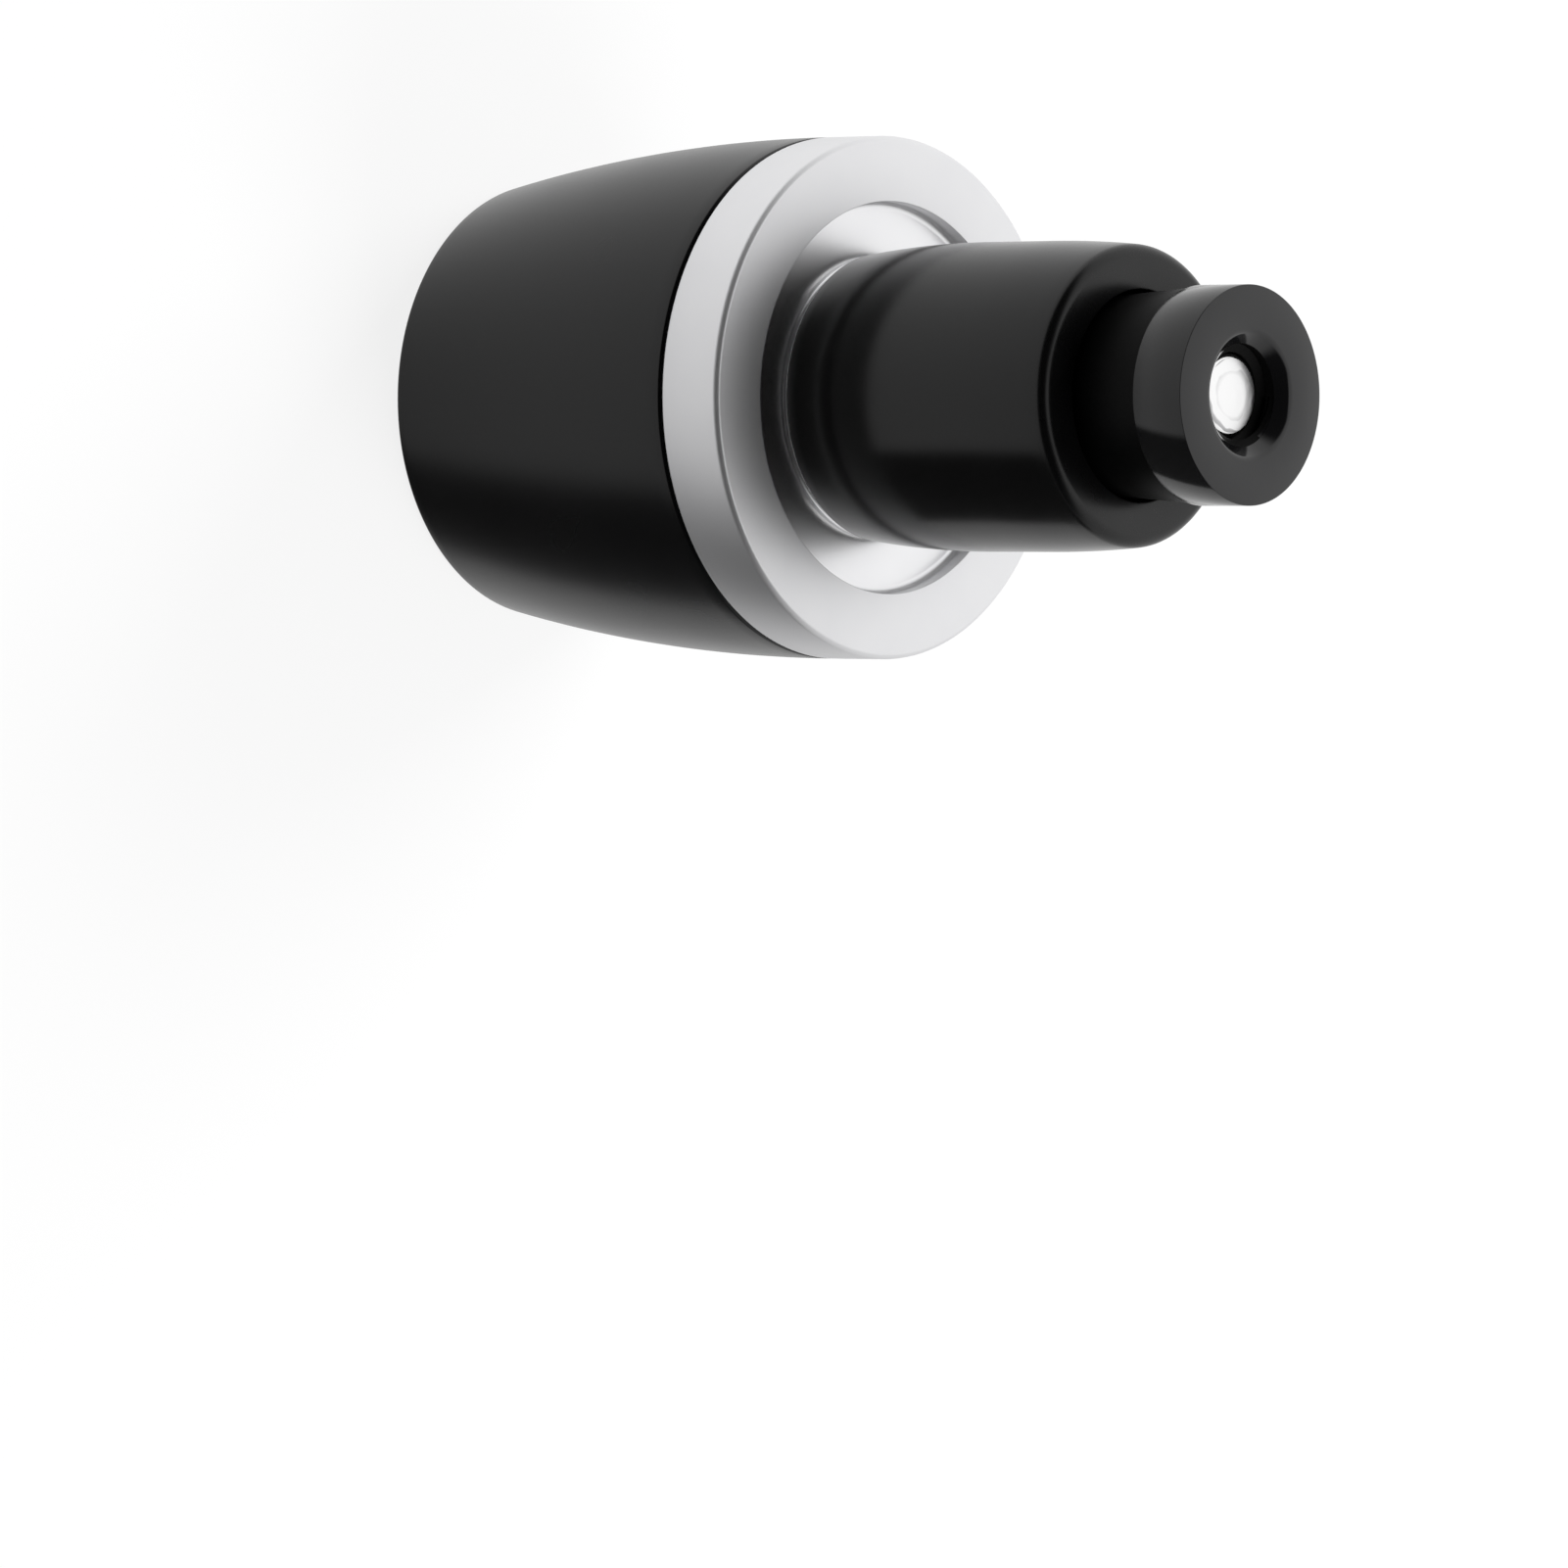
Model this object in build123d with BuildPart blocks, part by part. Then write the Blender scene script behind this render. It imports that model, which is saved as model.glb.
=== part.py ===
from build123d import *
from math import radians, tan
import os

# Bar end weight for a motorbike's handlebar, in millimetres. It stands on its open rim at z = 0 and the
# plug that goes into the bar points up +Z. The axis is the axis of every turned piece.

# Outer weight: a turned barrel, open at the rim, that meets the ring at its greatest radius. Its bow is
# turned as a few long tapers, none more than 0.07 mm inside the true arc
weight_radius = 15.75
weight_length = 24.0
rim_radius = 13.25
rim_wall = 1.25
rim_edge_break = 0.3
barrel_tapers = 3
mouth_edge_break = 0.15
well_depth = 3.6
well_narrowing = 1.8
funnel_ledge = 0.2
funnel_half_angle = 39.0
web_thickness = 4.1

# Trim ring: seats on the weight by a low register and takes the bar's end in its socket
ring_thickness = 4.5
ring_face_break = 0.25
seam_break = 0.2
register_radius = 9.0
register_height = 1.5
register_clearance = 0.1
bar_socket_radius = 11.8
bar_socket_depth = 1.3
bar_socket_corner_break = 0.3

# Plug washer, thin, under the foot of the rubber
washer_radius = 8.5
washer_thickness = 0.5
washer_bore_clearance = 0.2

# Rubber sleeve that grips the inside of the bar: barrelled, with a straight land at its greatest radius
sleeve_radius = 9.25
sleeve_foot_radius = 8.65
sleeve_end_radius = 8.95
sleeve_length = 20.4
sleeve_land_start = 8.8
sleeve_land_length = 5.0
sleeve_bore_radius = 4.2
sleeve_foot_break = 0.15
sleeve_end_break = 0.45

# Wedge nut: a slim cone that is drawn into the sleeve, with a collar at its outer end
collar_radius = 6.5
collar_thickness = 3.6
collar_step = 0.1
collar_edge_break = 0.15
wedge_half_angle = 4.3
wedge_showing = 4.7
wedge_inserted = 9.7
wedge_travel = 3.0
wedge_seat_clearance = 0.03
wedge_end_clearance = 0.5
thread_mouth_radius = 3.75

# Clamp screw: a socket head screw with a 6 mm thread
screw_radius = 3.0
thread_clearance = 0.05
screw_tip_break = 0.7
screw_tip_recess = 1.5
head_radius = 5.0
head_height = 6.0
head_edge_break = 0.5
head_clearance = 0.2
shank_clearance = 0.3
hex_across_flats = 5.0
hex_depth = 3.0

# Levels up the axis, each from the piece below it
seat_z = weight_length - web_thickness
ring_top_z = weight_length + ring_thickness
washer_z = ring_top_z - bar_socket_depth
sleeve_z = washer_z + washer_thickness
sleeve_end_z = sleeve_z + sleeve_length
land_z = sleeve_z + sleeve_land_start
land_end_z = land_z + sleeve_land_length
collar_z = sleeve_end_z + wedge_showing
nut_end_z = collar_z + collar_thickness
wedge_tip_z = sleeve_end_z - wedge_inserted
screw_tip_z = nut_end_z - screw_tip_recess

# Radii that follow from the piece that passes through or seats there
mouth_radius = rim_radius - rim_wall
well_floor_radius = mouth_radius - well_narrowing
funnel_radius = well_floor_radius - funnel_ledge
head_bore_radius = head_radius + head_clearance
shank_bore_radius = screw_radius + shank_clearance
register_bore_radius = register_radius + register_clearance
register_bore_depth = register_height + register_clearance
thread_bore_radius = screw_radius + thread_clearance
wedge_radius = collar_radius - collar_step
wedge_slope = tan(radians(wedge_half_angle))
funnel_end_z = well_depth + (funnel_radius - head_bore_radius) / tan(radians(funnel_half_angle))

# The sleeve's tapered socket stands off the cone by what the wedge closes over its travel
socket_gap = wedge_travel * wedge_slope + wedge_seat_clearance
socket_floor_z = wedge_tip_z - wedge_travel - wedge_end_clearance


def wedge_radius_at(z):
    """Radius of the wedge's cone at a height, with the nut where it is delivered."""
    return wedge_radius - (collar_z - z) * wedge_slope


os.makedirs("parts", exist_ok=True)

# Outer weight, turned in one piece: barrel, tapered well, funnel, bore for the screw's head and the web
# that the head pulls on
with BuildPart() as outer_weight:
    with BuildSketch(Plane.XZ) as weight_profile:
        with BuildLine():
            bow = TangentArc(
                (weight_radius, weight_length), (rim_radius, 0), tangent=(0, -1), mode=Mode.PRIVATE
            )
            barrel = Polyline(*[bow @ (step / barrel_tapers) for step in range(barrel_tapers + 1)])
            Polyline(
                barrel @ 1,
                (mouth_radius, 0),
                (well_floor_radius, well_depth),
                (funnel_radius, well_depth),
                (head_bore_radius, funnel_end_z),
                (head_bore_radius, seat_z),
                (shank_bore_radius, seat_z),
                (shank_bore_radius, weight_length - register_bore_depth),
                (register_bore_radius, weight_length - register_bore_depth),
                (register_bore_radius, weight_length),
                barrel @ 0,
            )
        make_face()
        rim_corner = weight_profile.vertices().sort_by_distance((rim_radius, 0))[0]
        chamfer(rim_corner, length=rim_edge_break)
    revolve(axis=Axis.Z)
    mouth_edge = outer_weight.edges().filter_by(GeomType.CIRCLE).group_by(Axis.Z)[0].sort_by(SortBy.RADIUS)[0]
    chamfer(mouth_edge, length=mouth_edge_break)
    seam_edge = outer_weight.edges().filter_by(GeomType.CIRCLE).group_by(Axis.Z)[-1].sort_by(SortBy.RADIUS)[-1]
    chamfer(seam_edge, length=seam_break)

# Trim ring: a disc with the register below, the bar's socket above and the screw's hole through both
with BuildPart() as trim_ring:
    with BuildSketch(Plane.XY.offset(weight_length)):
        Circle(weight_radius)
    extrude(amount=ring_thickness)
    seam_edge = trim_ring.edges().group_by(Axis.Z)[0]
    chamfer(seam_edge, length=seam_break)
    face_edge = trim_ring.edges().group_by(Axis.Z)[-1]
    chamfer(face_edge, length=ring_face_break)
    with BuildSketch(Plane.XY.offset(weight_length - register_height)):
        Circle(register_radius)
    extrude(amount=register_height)
    with Locations((0, 0, ring_top_z)):
        CounterBoreHole(
            radius=shank_bore_radius,
            counter_bore_radius=bar_socket_radius,
            counter_bore_depth=bar_socket_depth,
        )
    floor_edges = trim_ring.edges().filter_by(GeomType.CIRCLE).filter_by_position(Axis.Z, washer_z, washer_z)
    chamfer(floor_edges.sort_by(SortBy.RADIUS)[-1], length=bar_socket_corner_break)

# Plug washer, flat and thin
with BuildPart() as plug_washer:
    with BuildSketch(Plane.XY.offset(washer_z)):
        Circle(washer_radius)
        Circle(screw_radius + washer_bore_clearance, mode=Mode.SUBTRACT)
    extrude(amount=washer_thickness)

# Rubber sleeve: barrelled outside, with a plain bore at the washer's end and a tapered socket for the
# wedge at the other
with BuildPart() as rubber_sleeve:
    with BuildSketch(Plane.XZ) as sleeve_profile:
        with BuildLine():
            foot_arc = TangentArc((sleeve_radius, land_z), (sleeve_foot_radius, sleeve_z), tangent=(0, -1))
            end_arc = TangentArc((sleeve_radius, land_end_z), (sleeve_end_radius, sleeve_end_z), tangent=(0, 1))
            Line(foot_arc @ 0, end_arc @ 0)
            Polyline(
                end_arc @ 1,
                (wedge_radius_at(sleeve_end_z) + socket_gap, sleeve_end_z),
                (wedge_radius_at(socket_floor_z) + socket_gap, socket_floor_z),
                (sleeve_bore_radius, socket_floor_z),
                (sleeve_bore_radius, sleeve_z),
                foot_arc @ 1,
            )
        make_face()
        foot_corner = sleeve_profile.vertices().sort_by_distance((sleeve_foot_radius, sleeve_z))[0]
        chamfer(foot_corner, length=sleeve_foot_break)
        end_corner = sleeve_profile.vertices().sort_by_distance((sleeve_end_radius, sleeve_end_z))[0]
        chamfer(end_corner, length=sleeve_end_break)
    revolve(axis=Axis.Z)

# Wedge nut: collar and cone in one, tapped through, with a countersunk mouth
with BuildPart() as wedge_nut:
    with BuildSketch(Plane.XZ):
        with BuildLine():
            Polyline(
                (thread_bore_radius, wedge_tip_z),
                (wedge_radius_at(wedge_tip_z), wedge_tip_z),
                (wedge_radius, collar_z),
                (collar_radius, collar_z),
                (collar_radius, nut_end_z),
                (thread_bore_radius, nut_end_z),
                close=True,
            )
        make_face()
    revolve(axis=Axis.Z)
    end_edges = wedge_nut.edges().filter_by(GeomType.CIRCLE).group_by(Axis.Z)[-1].sort_by(SortBy.RADIUS)
    chamfer(end_edges[0], length=thread_mouth_radius - thread_bore_radius)
    chamfer(end_edges[-1], length=collar_edge_break)

# Clamp screw: head down in the weight, thread up into the nut, with the key's hexagon in its head
with BuildPart() as clamp_screw:
    with BuildSketch(Plane.XY.offset(seat_z - head_height)):
        Circle(head_radius)
    extrude(amount=head_height)
    head_edge = clamp_screw.edges().group_by(Axis.Z)[0]
    chamfer(head_edge, length=head_edge_break)
    with BuildSketch(Plane.XY.offset(seat_z)):
        Circle(screw_radius)
    extrude(amount=screw_tip_z - seat_z)
    tip_edge = clamp_screw.edges().group_by(Axis.Z)[-1]
    chamfer(tip_edge, length=screw_tip_break)
    with BuildSketch(Plane.XY.offset(seat_z - head_height)):
        RegularPolygon(radius=hex_across_flats / 2, side_count=6, major_radius=False)
    extrude(amount=hex_depth, mode=Mode.SUBTRACT)

outer_weight.part.label = "outer_weight"
export_step(outer_weight.part, "parts/outer_weight.step")
trim_ring.part.label = "trim_ring"
export_step(trim_ring.part, "parts/trim_ring.step")
plug_washer.part.label = "plug_washer"
export_step(plug_washer.part, "parts/plug_washer.step")
rubber_sleeve.part.label = "rubber_sleeve"
export_step(rubber_sleeve.part, "parts/rubber_sleeve.step")
wedge_nut.part.label = "wedge_nut"
export_step(wedge_nut.part, "parts/wedge_nut.step")
clamp_screw.part.label = "clamp_screw"
export_step(clamp_screw.part, "parts/clamp_screw.step")
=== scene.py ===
from math import atan2, cos, pi, radians, sin, sqrt

import bmesh
import bpy
from mathutils import Matrix, Vector


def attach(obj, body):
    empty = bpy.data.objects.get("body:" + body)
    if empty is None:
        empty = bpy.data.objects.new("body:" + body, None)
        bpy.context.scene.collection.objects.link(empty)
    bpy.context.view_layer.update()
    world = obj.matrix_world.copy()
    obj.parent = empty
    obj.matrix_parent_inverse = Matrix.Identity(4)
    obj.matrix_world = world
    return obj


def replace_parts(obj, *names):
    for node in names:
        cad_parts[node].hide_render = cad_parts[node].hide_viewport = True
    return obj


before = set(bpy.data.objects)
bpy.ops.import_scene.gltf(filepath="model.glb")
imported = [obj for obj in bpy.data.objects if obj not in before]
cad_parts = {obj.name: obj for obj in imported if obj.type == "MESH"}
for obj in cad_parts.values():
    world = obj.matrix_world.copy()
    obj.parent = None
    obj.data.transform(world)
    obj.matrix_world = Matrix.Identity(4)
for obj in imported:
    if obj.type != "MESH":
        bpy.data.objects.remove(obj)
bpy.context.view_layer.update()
bpy.ops.object.select_all(action="DESELECT")

# Camera: a long lens where the photograph was taken from, above the horizon and rolled on its side, so that
# the part's axis runs across the picture. The rim's centre is given in mm in the lens's frame: right, down,
# ahead.
mm = 0.001
photo_px = 1601
focal_px = 11978.4
film_width = 36
tilt, turn = 2.2938, 0.0218
rim_from_lens = Vector((-14.934, -23.723, 725.107))

part_z = Vector((sin(tilt) * cos(turn), sin(tilt) * sin(turn), cos(tilt)))
part_x = part_z.cross(Vector((0, 0, 1))).normalized()
part_y = part_z.cross(part_x)
to_part = Matrix((part_x, part_y, part_z))
lens_place = Matrix.Translation(to_part @ rim_from_lens * -mm)
lens_turn = (to_part @ Matrix.Diagonal((1, -1, -1))).to_4x4()
camera = bpy.data.objects.new("camera", bpy.data.cameras.new("camera"))
camera.data.sensor_width = film_width
camera.data.lens = film_width * focal_px / photo_px
camera.data.clip_start, camera.data.clip_end = 0.01, 30
camera.matrix_world = lens_place @ lens_turn
bpy.context.collection.objects.link(camera)
bpy.context.scene.camera = camera


# Studio: a white tent, a little brighter on one side and shaded underneath. The side where the camera stands
# is open to a dark room, and a black card stands low to one side. These give the gloss its edges. Two large
# soft lamps light the part and don't show in its gloss. The camera sees the tent plain white.
def linear(colour):
    """The linear red, green, blue and alpha of an sRGB hex colour."""
    parts = [int(colour[i : i + 2], 16) / 255 for i in (1, 3, 5)]
    return [p / 12.92 if p <= 0.04045 else ((p + 0.055) / 1.055) ** 2.4 for p in parts] + [1]


def add_node(tree, kind, settings=(), links=()):
    """Adds a node, with its properties and socket values from settings and its inputs from links."""
    node = tree.nodes.new(kind)
    for name, value in dict(settings).items():
        if isinstance(name, str) and hasattr(node, name):
            setattr(node, name, value)
        else:
            node.inputs[name].default_value = value
    for name, source in dict(links).items():
        tree.links.new(source, node.inputs[name])
    return node


# Levels of light, where 1 is white. The tent lights the part at a share of its level and shows in the gloss
# in full, and each dark place keeps its own share of that.
tent_light, room_light, card_light, under_light = 0.6, 0.02, 0.08, 0.45
cloth_level, cloth_slope = 0.86, (0.18, -0.1, 0.1)

# Soft edges: where each begins and where it is full, along a direction's Y or Z, or as an angle round the
# part's axis.
room_front, room_foot, room_top = (-0.28, 0.08), (-0.05, 0.12), (0.99, 0.94)
card_start, card_end = (radians(38), radians(48)), (radians(111), radians(107))
card_top = (0.1, -0.1)
under_edge = (-0.76, -0.98)

world = bpy.data.worlds.new("white_tent")
world.use_nodes = True
bpy.context.scene.world = world
tree = world.node_tree
tree.nodes.clear()
path = add_node(tree, "ShaderNodeLightPath")
direction = add_node(tree, "ShaderNodeTexCoord")
along = add_node(tree, "ShaderNodeSeparateXYZ", {}, {0: direction.outputs["Generated"]})
slope = add_node(tree, "ShaderNodeVectorMath", {"operation": "DOT_PRODUCT", 1: cloth_slope},
                 {0: direction.outputs["Generated"]})
cloth = add_node(tree, "ShaderNodeMath", {"operation": "ADD", "use_clamp": True, 1: cloth_level},
                 {0: slope.outputs["Value"]})
other_side = add_node(tree, "ShaderNodeMath", {"operation": "MULTIPLY", 1: -1}, {0: along.outputs["X"]})
round_axis = add_node(tree, "ShaderNodeMath", {"operation": "ARCTAN2"},
                      {0: other_side.outputs[0], 1: along.outputs["Y"]})

# Each dark place is what lies within all of its edges: every edge takes its share of the one before.
front_way, up, angle = along.outputs["Y"], along.outputs["Z"], round_axis.outputs[0]
room = ((front_way, room_front), (up, room_foot), (up, room_top))
card = ((angle, card_start), (angle, card_end), (up, card_top))
under = ((up, under_edge),)
for edges, light in ((room, room_light), (card, card_light), (under, under_light)):
    before = {}
    for source, (start, full) in edges:
        inside = add_node(tree, "ShaderNodeMapRange",
                          {"interpolation_type": "SMOOTHSTEP", "From Min": start, "From Max": full},
                          {0: source} | before)
        before = {"To Max": inside.outputs[0]}
    shade = add_node(tree, "ShaderNodeMapRange", {"To Min": 1, "To Max": light}, {0: inside.outputs[0]})
    cloth = add_node(tree, "ShaderNodeMath", {"operation": "MULTIPLY"},
                     {0: cloth.outputs[0], 1: shade.outputs[0]})
share = add_node(tree, "ShaderNodeMapRange", {"To Min": tent_light, "To Max": 1},
                 {0: path.outputs["Is Glossy Ray"]})
cloth = add_node(tree, "ShaderNodeMath", {"operation": "MULTIPLY"},
                 {0: cloth.outputs[0], 1: share.outputs[0]})
cloth = add_node(tree, "ShaderNodeMath", {"operation": "MAXIMUM"},
                 {0: cloth.outputs[0], 1: path.outputs["Is Camera Ray"]})
white = add_node(tree, "ShaderNodeBackground", {"Color": linear("#ffffff")},
                 {"Strength": cloth.outputs[0]})
add_node(tree, "ShaderNodeOutputWorld", {}, {"Surface": white.outputs[0]})

lamp_size = 0.5
part_middle = Vector((0, 0, 0.028))
for name, place, power in (("lamp_key", (0.45, -0.6, 0.7), 8.0), ("lamp_fill", (-0.5, -0.2, 0.75), 5.0)):
    lamp = bpy.data.objects.new(name, bpy.data.lights.new(name, "AREA"))
    lamp.data.size = lamp_size
    lamp.data.energy = power
    lamp.location = place
    lamp.rotation_euler = (part_middle - Vector(place)).to_track_quat("-Z", "Y").to_euler()
    lamp.visible_glossy = False
    bpy.context.collection.objects.link(lamp)

# Table: one white sheet that the part stands on. Most of its white is its own, and the rest is lit, so that
# it keeps the part's soft shadow. The gloss shows the tent's lower half in its place.
table_size = 6.0
own_white = 0.85
bpy.ops.mesh.primitive_plane_add(size=table_size, location=(0, 0, 0))
table = bpy.context.active_object
table.name = table.data.name = "table"
sheet = bpy.data.materials.new("white_paper_sheet")
sheet.use_nodes = True
tree = sheet.node_tree
tree.nodes.clear()
path = add_node(tree, "ShaderNodeLightPath")
seen = add_node(tree, "ShaderNodeMath", {"operation": "MULTIPLY", 1: own_white},
                {0: path.outputs["Is Camera Ray"]})
paper = add_node(tree, "ShaderNodeBsdfDiffuse", {"Color": linear("#f4f4f4")})
bright = add_node(tree, "ShaderNodeEmission", {"Color": linear("#ffffff"), "Strength": 1})
clear = add_node(tree, "ShaderNodeBsdfTransparent", {"Color": linear("#ffffff")})
surface = add_node(tree, "ShaderNodeMixShader", {},
                   {0: seen.outputs[0], 1: paper.outputs[0], 2: bright.outputs[0]})
surface = add_node(tree, "ShaderNodeMixShader", {},
                   {0: path.outputs["Is Glossy Ray"], 1: surface.outputs[0], 2: clear.outputs[0]})
add_node(tree, "ShaderNodeOutputMaterial", {}, {"Surface": surface.outputs[0]})
table.data.materials.append(sheet)


# Outer weight: a heavy aluminium barrel, turned in one piece and dyed a deep gloss black by anodising. Its
# open end has a tapered well, a funnel, which is cut again after the dyeing, and a bore for the screw's head.
def close_ends():
    """Closes the open ends of the mesh in edit mode and selects all of it."""
    bpy.ops.mesh.select_all(action="DESELECT")
    bpy.ops.mesh.select_non_manifold()
    bpy.ops.mesh.edge_face_add()
    bpy.ops.mesh.select_all(action="SELECT")


def turned(name, corners, bored=True, sides=192):
    """A turned solid: a circle is drawn out from corner to corner of the profile, (radius, height) in mm. If
    it is bored through, it goes back to its first corner, and if not, a flat closes each end."""
    bpy.ops.object.select_all(action="DESELECT")
    radius, height = corners[0]
    bpy.ops.mesh.primitive_circle_add(vertices=sides, radius=radius * mm, location=(0, 0, height * mm))
    piece = bpy.context.active_object
    piece.name = piece.data.name = name
    bpy.ops.object.transform_apply(location=True, rotation=False, scale=False)
    bpy.ops.object.mode_set(mode="EDIT")
    bpy.context.tool_settings.mesh_select_mode = (False, True, False)
    bpy.ops.mesh.select_all(action="SELECT")
    for next_radius, next_height in corners[1:] + (corners[:1] if bored else []):
        rise = (next_height - height) * mm
        bpy.ops.mesh.extrude_edges_move(TRANSFORM_OT_translate={"value": (0, 0, rise)})
        bpy.ops.transform.resize(value=(next_radius / radius, next_radius / radius, 1),
                                 center_override=(0, 0, next_height * mm))
        radius, height = next_radius, next_height
    if bored:
        bpy.ops.mesh.select_all(action="SELECT")
        bpy.ops.mesh.remove_doubles(threshold=0.003 * mm)
    else:
        close_ends()
    bpy.ops.mesh.normals_make_consistent(inside=False)
    bpy.ops.object.mode_set(mode="OBJECT")
    return piece


def round_edge(piece, radius, height, width, steps):
    """Rounds the turned edge at that radius and height, in mm."""
    near = 0.01 * mm
    bpy.ops.object.select_all(action="DESELECT")
    bpy.context.view_layer.objects.active = piece
    bpy.ops.object.mode_set(mode="EDIT")
    bpy.ops.mesh.select_all(action="DESELECT")
    mesh = bmesh.from_edit_mesh(piece.data)
    for edge in mesh.edges:
        edge.select = all(abs(v.co.z - height * mm) < near and abs(v.co.xy.length - radius * mm) < near
                          for v in edge.verts)
    bmesh.update_edit_mesh(piece.data)
    bpy.ops.mesh.bevel(offset=width * mm, segments=steps, affect="EDGES")
    bpy.ops.object.mode_set(mode="OBJECT")


def smooth(piece):
    """Shades the turned surfaces smooth and keeps the true corners."""
    bpy.ops.object.select_all(action="DESELECT")
    piece.select_set(True)
    bpy.context.view_layer.objects.active = piece
    bpy.ops.object.shade_smooth_by_angle(angle=radians(28))


def bowed(height, land, end):
    """The radius at a height, in mm, of a side that leaves its land upright and bows in to its end."""
    fall, run = land[0] - end[0], land[1] - end[1]
    bow_radius = (fall**2 + run**2) / (2 * fall)
    return land[0] - bow_radius + sqrt(bow_radius**2 - (land[1] - height) ** 2)


def new_finish(name, values):
    """A new material with these values on its shader, its nodes, the shader and the place on the piece."""
    finish = bpy.data.materials.new(name)
    finish.use_nodes = True
    shader = finish.node_tree.nodes["Principled BSDF"]
    for socket, value in values.items():
        shader.inputs[socket].default_value = value
    return finish, finish.node_tree, shader, add_node(finish.node_tree, "ShaderNodeTexCoord")


def mottled(tree, place, patch, detail, colours):
    """Soft patches of that size in mm, and the colour that goes from one to the other of two with them."""
    patches = add_node(tree, "ShaderNodeTexNoise", {"Scale": 1 / (patch * mm), "Detail": detail},
                       {"Vector": place.outputs["Object"]})
    first, second = colours
    colour = add_node(tree, "ShaderNodeMix", {"data_type": "RGBA", 6: linear(first), 7: linear(second)},
                      {0: patches.outputs[0]})
    return patches, colour


def from_axis(tree, place):
    """How far each point of the piece lies from the axis."""
    flat = add_node(tree, "ShaderNodeVectorMath", {"operation": "MULTIPLY", 1: (1, 1, 0)},
                    {0: place.outputs["Object"]})
    return add_node(tree, "ShaderNodeVectorMath", {"operation": "LENGTH"}, {0: flat.outputs[0]})


def tool_rings(tree, place, spacing, depth):
    """The bump of the fine rings that a lathe tool leaves, their spacing and depth in mm."""
    radius = from_axis(tree, place)
    height = add_node(tree, "ShaderNodeSeparateXYZ", {}, {0: place.outputs["Object"]})
    section = add_node(tree, "ShaderNodeCombineXYZ", {},
                       {"X": radius.outputs["Value"], "Y": height.outputs["Z"]})
    rings = add_node(tree, "ShaderNodeTexNoise",
                     {"Scale": 0.5 / (spacing * mm), "Detail": 3, "Roughness": 0.6},
                     {"Vector": section.outputs[0]})
    return add_node(tree, "ShaderNodeBump", {"Strength": 1, "Distance": depth * mm},
                    {"Height": rings.outputs[0]})


rim_radius, barrel_radius, barrel_length = 13.25, 15.75, 24.0
seam_break = 0.2
mouth_radius, well_floor_radius, well_depth = 12.0, 10.2, 3.6
funnel_radius, funnel_end_z = 10.0, 9.53
head_bore_radius, shank_bore_radius, seat_z = 5.2, 3.3, 19.9
register_bore_radius, register_bore_z = 9.1, 22.4
bow_steps = 24
bow_heights = [(barrel_length - seam_break) * step / bow_steps for step in range(1, bow_steps)]
bow = [(bowed(height, (barrel_radius, barrel_length), (rim_radius, 0)), height) for height in bow_heights]
barrel = turned("weight_barrel", [(rim_radius, 0)] + bow + [
    (barrel_radius, barrel_length - seam_break), (barrel_radius - seam_break, barrel_length),
    (register_bore_radius, barrel_length), (register_bore_radius, register_bore_z),
    (shank_bore_radius, register_bore_z), (shank_bore_radius, seat_z), (head_bore_radius, seat_z),
    (head_bore_radius, funnel_end_z), (funnel_radius, well_depth), (well_floor_radius, well_depth),
    (mouth_radius, 0)])
round_edge(barrel, rim_radius, 0, width=0.4, steps=6)
round_edge(barrel, mouth_radius, 0, width=0.15, steps=3)
round_edge(barrel, barrel_radius, barrel_length - seam_break, width=0.06, steps=2)
round_edge(barrel, head_bore_radius, funnel_end_z, width=0.15, steps=3)
smooth(barrel)

# Black anodised aluminium, polished before it is dyed: a deep black with broad, slightly soft reflections.
black_anodised, tree, shader, place = new_finish("black_anodised_aluminium", {"IOR": 1.42})
cloud, dye = mottled(tree, place, patch=6, detail=2, colours=("#080809", "#0d0d0e"))
haze = add_node(tree, "ShaderNodeMapRange", {"To Min": 0.24, "To Max": 0.29}, {0: cloud.outputs[0]})
rings = tool_rings(tree, place, spacing=0.25, depth=0.0004)
tree.links.new(dye.outputs[2], shader.inputs["Base Color"])
tree.links.new(haze.outputs[0], shader.inputs["Roughness"])
tree.links.new(rings.outputs[0], shader.inputs["Normal"])
barrel.data.materials.append(black_anodised)

# Grey anodised aluminium: the funnel and the bore, dyed more thinly, a satin grey with plain tool rings.
grey_anodised, tree, shader, place = new_finish(
    "turned_grey_anodised_aluminium", {"Metallic": 1, "Roughness": 0.34})
cloud, dye = mottled(tree, place, patch=3, detail=2, colours=("#5a5a5d", "#6a6a6d"))
rings = tool_rings(tree, place, spacing=0.2, depth=0.002)
tree.links.new(dye.outputs[2], shader.inputs["Base Color"])
tree.links.new(rings.outputs[0], shader.inputs["Normal"])
barrel.data.materials.append(grey_anodised)
for face in barrel.data.polygons:
    if face.center.xy.length < funnel_radius * mm and face.center.z < (seat_z + 0.1) * mm:
        face.material_index = 1
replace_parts(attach(barrel, "weight"), "outer_weight")

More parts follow.
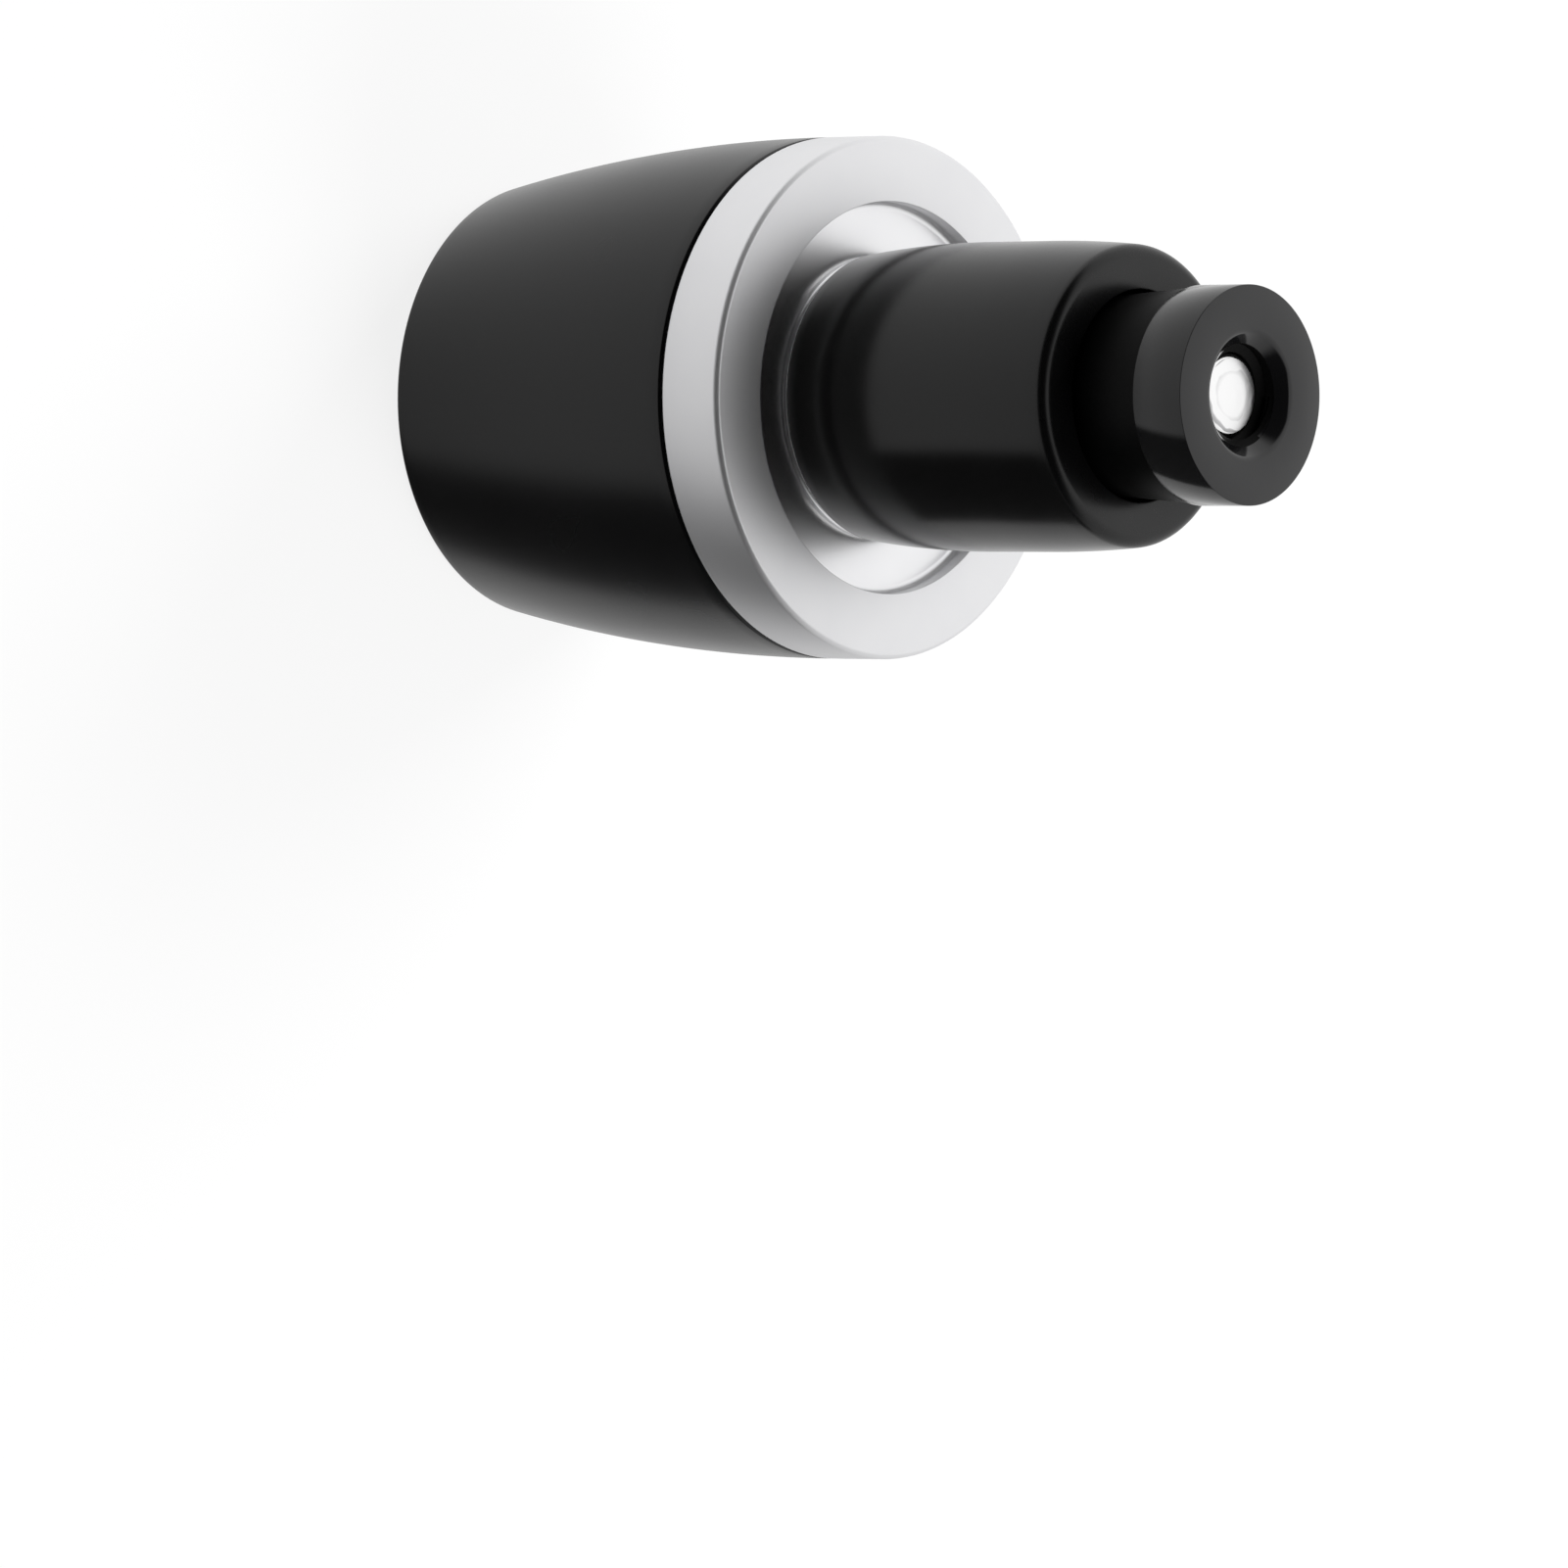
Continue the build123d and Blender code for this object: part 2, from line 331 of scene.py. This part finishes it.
# Trim ring: bare aluminium, faced and turned on the lathe, with a socket for the bar's end. It stands on the
# weight by a low register and is held by the screw.
register_radius, register_z = 9.0, 22.5
ring_top_z, face_break = 28.5, 0.25
socket_radius, socket_floor_z = 11.8, 27.2
ring = turned("trim_ring_turned", [
    (register_radius, register_z), (register_radius, barrel_length),
    (barrel_radius - seam_break, barrel_length), (barrel_radius, barrel_length + seam_break),
    (barrel_radius, ring_top_z - face_break), (barrel_radius - face_break, ring_top_z),
    (socket_radius, ring_top_z), (socket_radius, socket_floor_z), (shank_bore_radius, socket_floor_z),
    (shank_bore_radius, register_z)])
round_edge(ring, socket_radius, socket_floor_z, width=0.4, steps=6)
round_edge(ring, socket_radius, ring_top_z, width=0.08, steps=3)
round_edge(ring, barrel_radius - face_break, ring_top_z, width=0.08, steps=3)
round_edge(ring, barrel_radius, ring_top_z - face_break, width=0.12, steps=3)
round_edge(ring, barrel_radius, barrel_length + seam_break, width=0.06, steps=2)
smooth(ring)

# Turned aluminium: near white metal with fine, close tool rings. The face and side are satin, and the
# socket, cut last with a keener tool, is brighter.
turned_aluminium, tree, shader, place = new_finish("turned_aluminium", {"Metallic": 1})
cloud, bare = mottled(tree, place, patch=4, detail=2, colours=("#f4f4f6", "#fafafb"))
radius = from_axis(tree, place)
haze = add_node(tree, "ShaderNodeMapRange", {
    "From Min": (socket_radius - 0.1) * mm, "From Max": (socket_radius + 0.1) * mm,
    "To Min": 0.32, "To Max": 0.52}, {0: radius.outputs["Value"]})
rings = tool_rings(tree, place, spacing=0.12, depth=0.0012)
tree.links.new(bare.outputs[2], shader.inputs["Base Color"])
tree.links.new(haze.outputs[0], shader.inputs["Roughness"])
tree.links.new(rings.outputs[0], shader.inputs["Normal"])
ring.data.materials.append(turned_aluminium)
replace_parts(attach(ring, "weight"), "trim_ring")

# Plug washer: thin plated steel, stamped and tumbled, so that its edge is rounded. It lies on the socket's
# floor, under the rubber's foot.
washer_radius, washer_bore_radius, washer_top_z = 8.5, 3.2, 27.7
washer = turned("plug_washer_plated", [
    (washer_bore_radius, socket_floor_z), (washer_radius, socket_floor_z), (washer_radius, washer_top_z),
    (washer_bore_radius, washer_top_z)])
round_edge(washer, washer_radius, washer_top_z, width=0.15, steps=4)
round_edge(washer, washer_radius, socket_floor_z, width=0.15, steps=4)
smooth(washer)

# Zinc plated steel: a bright, slightly clouded silver.
zinc, tree, shader, place = new_finish("zinc_plated_steel", {"Metallic": 1})
cloud, plating = mottled(tree, place, patch=0.8, detail=3, colours=("#f2f2f2", "#ffffff"))
haze = add_node(tree, "ShaderNodeMapRange", {"To Min": 0.1, "To Max": 0.2}, {0: cloud.outputs[0]})
grain = add_node(tree, "ShaderNodeBump", {"Strength": 1, "Distance": 0.004 * mm},
                 {"Height": cloud.outputs[0]})
tree.links.new(plating.outputs[2], shader.inputs["Base Color"])
tree.links.new(haze.outputs[0], shader.inputs["Roughness"])
tree.links.new(grain.outputs[0], shader.inputs["Normal"])
washer.data.materials.append(zinc)
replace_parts(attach(washer, "weight"), "plug_washer")

# Rubber sleeve: black rubber, moulded round and slightly barrelled, with a tapered socket for the wedge. It
# stands loosely round the screw and swells against the bar's bore when the wedge is drawn in.
land_z, land_end_z, sleeve_end_z = 36.5, 41.5, 48.1
foot_radius, land_radius, end_radius = 8.65, 9.25, 8.95
cone_mouth_radius, cone_floor_radius, cone_floor_z = 6.3, 5.31, 34.9
sleeve_bore_radius = 4.2

# The side bows in below and above its straight land. The last steps above are left to the round at the end.
foot, land, land_end = (foot_radius, washer_top_z), (land_radius, land_z), (land_radius, land_end_z)
end = (end_radius, sleeve_end_z)
foot_steps, end_steps, end_steps_drawn = 10, 8, 6
side = [foot]
for step in range(1, foot_steps):
    height = washer_top_z + (land_z - washer_top_z) * step / foot_steps
    side.append((bowed(height, land, foot), height))
side += [land, land_end]
for step in range(1, end_steps_drawn + 1):
    height = land_end_z + (sleeve_end_z - land_end_z) * step / end_steps
    side.append((bowed(height, land_end, end), height))
sleeve = turned("grip_sleeve_rubber", side + [
    end, (cone_mouth_radius, sleeve_end_z), (cone_floor_radius, cone_floor_z),
    (sleeve_bore_radius, cone_floor_z), (sleeve_bore_radius, washer_top_z)])
round_edge(sleeve, end_radius, sleeve_end_z, width=0.7, steps=8)
round_edge(sleeve, foot_radius, washer_top_z, width=0.25, steps=4)
round_edge(sleeve, cone_mouth_radius, sleeve_end_z, width=0.1, steps=2)
smooth(sleeve)

# Moulded rubber, from a polished mould: black and glossy, with a faint ripple, and a little duller at its
# end.
rubber, tree, shader, place = new_finish("moulded_black_rubber", {"IOR": 1.42})
cloud, black = mottled(tree, place, patch=2.5, detail=3, colours=("#060606", "#0a0a0b"))
gloss = add_node(tree, "ShaderNodeMapRange", {"To Min": 0.17, "To Max": 0.22}, {0: cloud.outputs[0]})
height = add_node(tree, "ShaderNodeSeparateXYZ", {}, {0: place.outputs["Object"]})
dull_end = add_node(tree, "ShaderNodeMapRange", {
    "From Min": (sleeve_end_z - 1.3) * mm, "From Max": (sleeve_end_z - 0.3) * mm,
    "To Min": 0, "To Max": 0.08}, {0: height.outputs["Z"]})
haze = add_node(tree, "ShaderNodeMath", {"operation": "ADD"}, {0: gloss.outputs[0], 1: dull_end.outputs[0]})
ripple = add_node(tree, "ShaderNodeBump", {"Strength": 1, "Distance": 0.004 * mm},
                  {"Height": cloud.outputs[0]})
tree.links.new(black.outputs[2], shader.inputs["Base Color"])
tree.links.new(haze.outputs[0], shader.inputs["Roughness"])
tree.links.new(ripple.outputs[0], shader.inputs["Normal"])
sleeve.data.materials.append(rubber)
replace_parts(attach(sleeve, "weight"), "rubber_sleeve")

# Wedge nut: black anodised aluminium, a slim cone with a collar, turned and tapped through. The screw draws
# it into the rubber, so it carries a real thread of 1 mm pitch in its bore.
pitch = 1.0
steps_per_turn = 48


def add_thread(piece, section, start, end, run_out):
    """Adds a thread's ridge to a piece: its section, (radius, height) in mm, is wound up a right hand helix
    from start to end. The run out gives each point its last radius, from its radius and height in mm."""
    bpy.ops.object.select_all(action="DESELECT")
    bpy.ops.mesh.primitive_plane_add(size=mm, location=(0, 0, 0))
    ridge = bpy.context.active_object
    in_turn = sorted(ridge.data.vertices, key=lambda vertex: atan2(vertex.co.y, vertex.co.x))
    for vertex, (radius, height) in zip(in_turn, section):
        vertex.co = (radius * mm, 0, (start + height) * mm)
    bpy.ops.object.mode_set(mode="EDIT")
    bpy.ops.mesh.select_all(action="SELECT")
    bpy.ops.mesh.delete(type="ONLY_FACE")
    bpy.ops.object.mode_set(mode="OBJECT")
    turns = (end - start) / pitch
    wind = ridge.modifiers.new("wind", "SCREW")
    wind.axis = "Z"
    wind.angle = 2 * pi * turns
    wind.screw_offset = (end - start) * mm
    wind.steps = wind.render_steps = round(steps_per_turn * turns)
    bpy.ops.object.modifier_apply(modifier="wind")
    bpy.ops.object.mode_set(mode="EDIT")
    close_ends()
    bpy.ops.mesh.normals_make_consistent(inside=False)
    bpy.ops.object.mode_set(mode="OBJECT")
    for vertex in ridge.data.vertices:
        radius = vertex.co.xy.length / mm
        vertex.co.xy *= run_out(radius, vertex.co.z / mm) / radius
    piece.select_set(True)
    bpy.context.view_layer.objects.active = piece
    bpy.ops.object.join()


wedge_tip_radius, wedge_tip_z = 5.317, 38.4
wedge_radius, collar_radius, collar_z, nut_end_z = 6.4, 6.5, 52.8, 56.4
tapped_radius, countersink_radius, countersink_z = 3.05, 3.75, 55.7

# Both threads end a little below the surface of the cone that cuts them off: the nut's countersink here, and
# the screw's chamfer.
sunk = 0.03
nut = turned("wedge_nut_tapped", [
    (tapped_radius, wedge_tip_z), (wedge_tip_radius, wedge_tip_z), (wedge_radius, collar_z),
    (collar_radius, collar_z), (collar_radius, nut_end_z), (countersink_radius, nut_end_z),
    (tapped_radius, countersink_z)])
round_edge(nut, collar_radius, nut_end_z, width=0.06, steps=3)
round_edge(nut, collar_radius, collar_z, width=0.05, steps=2)
round_edge(nut, countersink_radius, nut_end_z, width=0.2, steps=4)
add_thread(nut, [(3.1, -0.417), (3.1, 0.417), (2.55, 0.1), (2.55, -0.1)], start=38.85, end=55.6,
           run_out=lambda radius, height: max(radius, countersink_radius - (nut_end_z - height) + sunk))
smooth(nut)

# Satin black anodised aluminium: dyed as turned, so it stays a soft dark grey where the light rakes it.
satin_black, tree, shader, place = new_finish("satin_black_anodised_aluminium", {"IOR": 1.5})
cloud, dye = mottled(tree, place, patch=1.5, detail=3, colours=("#0e0e0f", "#141415"))
haze = add_node(tree, "ShaderNodeMapRange", {"To Min": 0.09, "To Max": 0.13}, {0: cloud.outputs[0]})
rings = tool_rings(tree, place, spacing=0.15, depth=0.0005)
tree.links.new(dye.outputs[2], shader.inputs["Base Color"])
tree.links.new(haze.outputs[0], shader.inputs["Roughness"])
tree.links.new(rings.outputs[0], shader.inputs["Normal"])
nut.data.materials.append(satin_black)

# Black anodised aluminium on the cone and in the tapped hole: rougher, and with a darker colour and a weaker
# reflection, which are painted shade between the rubber's end and the collar and down the hole.
painted_shade_matt_black, tree, shader, place = new_finish(
    "painted_shade_black_anodised_aluminium", {"Roughness": 0.45, "IOR": 1.3, "Specular IOR Level": 0.2})
cloud, dye = mottled(tree, place, patch=0.5, detail=3, colours=("#050505", "#0a0a0a"))
rings = tool_rings(tree, place, spacing=0.15, depth=0.001)
tree.links.new(dye.outputs[2], shader.inputs["Base Color"])
tree.links.new(rings.outputs[0], shader.inputs["Normal"])
nut.data.materials.append(painted_shade_matt_black)
# The faces of the cone and of the tapped hole take the painted shade.
for face in nut.data.polygons:
    radius, height = face.center.xy.length / mm, face.center.z / mm
    on_cone = height < collar_z - 0.05
    in_hole = radius < tapped_radius + 0.07 and height < countersink_z + 0.02
    if on_cone or in_hole:
        face.material_index = 1
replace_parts(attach(nut, "wedge"), "wedge_nut")

# Clamp screw: a plated steel socket head screw with a 6 mm thread, long enough for the wedge's whole travel.
# Its head pulls on the web in the weight, and its bright end, a low dome, is seen in the nut.
head_radius, head_z, head_break = 5.0, 13.9, 0.5
key_across, key_depth = 5.0, 3.0
shank_radius, shank_end_z = 3.0, 33.9
core_radius, core_start_z, core_end_z = 2.45, 34.45, 54.75
screw_end_radius, screw_end_z = 2.3, 54.9
screw_dome = [(1.8, 54.97), (1.2, 55.03), (0.6, 55.06)]
screw = turned("clamp_screw_threaded", [
    (head_radius - head_break, head_z), (head_radius, head_z + head_break), (head_radius, seat_z),
    (shank_radius, seat_z), (shank_radius, shank_end_z), (core_radius, core_start_z),
    (core_radius, core_end_z), (screw_end_radius, screw_end_z)] + screw_dome, bored=False)
round_edge(screw, screw_end_radius, screw_end_z, width=0.1, steps=3)
bpy.ops.object.select_all(action="DESELECT")
bpy.ops.mesh.primitive_cylinder_add(vertices=6, radius=key_across / sqrt(3) * mm, depth=2 * key_depth * mm,
                                    location=(0, 0, head_z * mm))
key = bpy.context.active_object
bpy.ops.object.transform_apply(location=True, rotation=False, scale=False)
bpy.context.view_layer.objects.active = screw
key_socket = screw.modifiers.new("key_socket", "BOOLEAN")
key_socket.operation = "DIFFERENCE"
key_socket.solver = "EXACT"
key_socket.object = key
bpy.ops.object.modifier_apply(modifier="key_socket")
bpy.data.objects.remove(key)
add_thread(screw, [(2.4, -0.43), (2.4, 0.43), (3.0, 0.0825), (3.0, -0.0825)], start=34.35, end=54.4,
           run_out=lambda radius, height: min(radius, screw_end_radius + (screw_end_z - height) - sunk))
smooth(screw)
screw.data.materials.append(zinc)

# Zinc plated cut end: the same bright plating, with grey curved marks where the bar was cut off.
cut_end, tree, shader, place = new_finish("zinc_plated_steel_cut_end", {"Metallic": 1, "Roughness": 0.3})
marks = add_node(tree, "ShaderNodeTexWave", {
    "wave_type": "RINGS", "rings_direction": "Z", "Scale": 0.35 / mm, "Distortion": 5, "Detail": 2,
    "Detail Scale": 1.5}, {"Vector": place.outputs["Object"]})
radius = from_axis(tree, place)
outer = add_node(tree, "ShaderNodeMapRange", {
    "From Min": 1.2 * mm, "From Max": screw_end_radius * mm, "To Min": 0, "To Max": 0.9},
    {0: radius.outputs["Value"]})
dark = add_node(tree, "ShaderNodeMapRange", {"From Min": 0.62, "From Max": 0.9}, {0: marks.outputs["Fac"]})
dark = add_node(tree, "ShaderNodeMath", {"operation": "MULTIPLY"}, {0: dark.outputs[0], 1: outer.outputs[0]})
plating = add_node(tree, "ShaderNodeMix", {"data_type": "RGBA", 6: linear("#ffffff"), 7: linear("#8e8e90")},
                   {0: dark.outputs[0]})
dents = add_node(tree, "ShaderNodeBump", {"Strength": 1, "Distance": 0.006 * mm},
                 {"Height": marks.outputs["Fac"]})
tree.links.new(plating.outputs[2], shader.inputs["Base Color"])
tree.links.new(dents.outputs[0], shader.inputs["Normal"])
screw.data.materials.append(cut_end)
for face in screw.data.polygons:
    if face.center.z > (screw_end_z + 0.01) * mm:
        face.material_index = 1
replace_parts(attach(screw, "screw"), "clamp_screw")

bpy.context.scene.view_settings.view_transform = "Standard"
